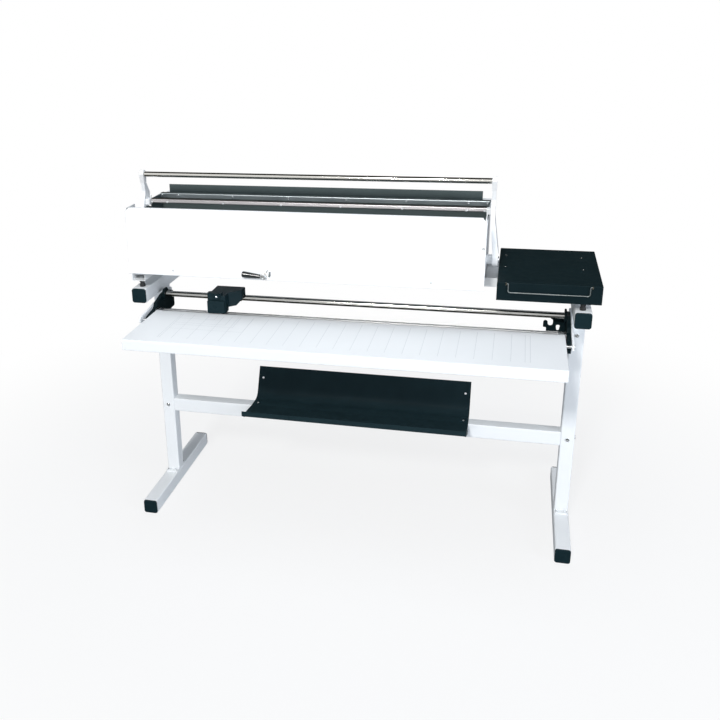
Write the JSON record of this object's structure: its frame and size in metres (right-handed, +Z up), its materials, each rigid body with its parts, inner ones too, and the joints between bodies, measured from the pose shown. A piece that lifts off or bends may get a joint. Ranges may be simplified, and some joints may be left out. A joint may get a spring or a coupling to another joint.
{
  "type": "paper folding machine",
  "caption": "Floor stand with a hand-swung sheet folder on top, a rotary trimmer with table in front, a catch tray below and a paper shelf at the right.",
  "frame": {"origin": "middle of the overall width and depth, on the floor", "axes": "+X to the operator's right along the long side, +Y away from the operator, +Z up"},
  "size_m": [1.5606, 0.749, 1.211],
  "materials": {
    "stand_paint": "pale grey powder coat",
    "white_paint": "satin white paint",
    "grey_paint": "satin grey paint",
    "black_paint": "fine textured black powder coat",
    "dark_board": "matte dark grey-green paint",
    "white_laminate": "matte white laminate with fine grey lines",
    "white_plastic": "moulded white plastic",
    "black_plastic": "moulded black plastic",
    "aluminium": "natural anodised",
    "chrome": "polished chrome plate",
    "blade_steel": "ground tool steel",
    "zinc_steel": "bright zinc plate",
    "brass": "turned bearing bronze",
    "rubber": "black rubber"
  },
  "bodies": {
    "stand": {"foot_tubes": "stand_paint", "foot_end_caps": "black_plastic", "upright_base_plates": "stand_paint", "uprights": "stand_paint", "crossbeam": "stand_paint", "frame_bolts": "zinc_steel", "support_arms": "stand_paint", "support_arm_caps": "black_plastic", "table_frame": "grey_paint", "table_top": "white_laminate", "blade_bed": "aluminium", "fixed_blade": "blade_steel", "blade_clamps": "black_plastic", "guide_rail": "chrome", "rail_end_blocks": "black_plastic", "end_brackets": "black_paint", "table_studs": "zinc_steel", "hook_plate": "black_paint", "catch_tray": "black_paint", "tray_brackets": "black_paint", "rubber_feet": "rubber", "base_rails": "white_paint", "base_pan": "white_paint", "left_side_plate": "grey_paint", "right_side_plate": "grey_paint", "front_cover": "white_paint", "hopper_floor": "grey_paint", "slot_front_plate": "grey_paint", "rear_profile": "aluminium", "rear_cover": "white_paint", "backing_board": "dark_board", "board_ledge": "grey_paint", "pivot_bosses": "zinc_steel", "pivot_pins": "zinc_steel", "panel_screws": "zinc_steel", "lever_plate": "zinc_steel", "lever_bush": "brass", "shaft_bearing": "zinc_steel", "stop_guide_posts": "zinc_steel", "paper_shelf": "black_paint", "shelf_spacers": "zinc_steel", "bail_clips": "zinc_steel"},
    "handle": {"left_swing_arm": "white_paint", "right_swing_arm": "white_paint", "bar_knuckles": "white_plastic", "handle_bar": "chrome", "front_profile": "aluminium", "profile_end_links": "aluminium", "front_profile_screws": "zinc_steel"},
    "cutter": {"cutter_head": "black_plastic", "rail_bushes": "brass", "cutter_guard": "black_plastic", "head_knob": "black_plastic", "blade_axle": "zinc_steel"},
    "cutter_wheel": {"cutter_blade": "blade_steel"},
    "lever": {"lever_grip": "black_plastic", "lever_hub": "chrome", "stop_cam": "zinc_steel"},
    "sheet_stop": {"paper_stop": "zinc_steel"},
    "bail": {"shelf_bail": "chrome"}
  },
  "joints": [
    {"name": "handle_swing", "type": "hinge", "parent": "stand", "child": "handle", "pos_m": [-0.1542, 0.0565, 0.95], "axis": [1, 0, 0], "range_deg": [0, 38]},
    {"name": "cutter_slide", "type": "slide", "parent": "stand", "child": "cutter", "axis": [1, 0, 0], "range_m": [-0.185, 1.056]},
    {"name": "cutter_wheel_spin", "type": "hinge", "parent": "cutter", "child": "cutter_wheel", "pos_m": [-0.4462, -0.0602, 0.7775], "axis": [0, 1, 0], "continuous": true},
    {"name": "stop_lever_turn", "type": "hinge", "parent": "stand", "child": "lever", "pos_m": [-0.2647, -0.1235, 0.911], "axis": [0, 1, 0], "range_deg": [0, 180]},
    {"name": "sheet_stop_lift", "type": "slide", "parent": "stand", "child": "sheet_stop", "axis": [0, 0, 1], "range_m": [0, 0.02]},
    {"name": "bail_swing", "type": "hinge", "parent": "stand", "child": "bail", "pos_m": [0.6253, -0.1118, 0.923], "axis": [-1, 0, 0], "range_deg": [0, 195]}
  ],
  "couplings": [
    {"joint": "cutter_wheel_spin", "follows": "cutter_slide", "rad_per_m": 44.444},
    {"joint": "stop_lever_turn", "follows": "sheet_stop_lift", "rad_per_m": 157.08}
  ]
}
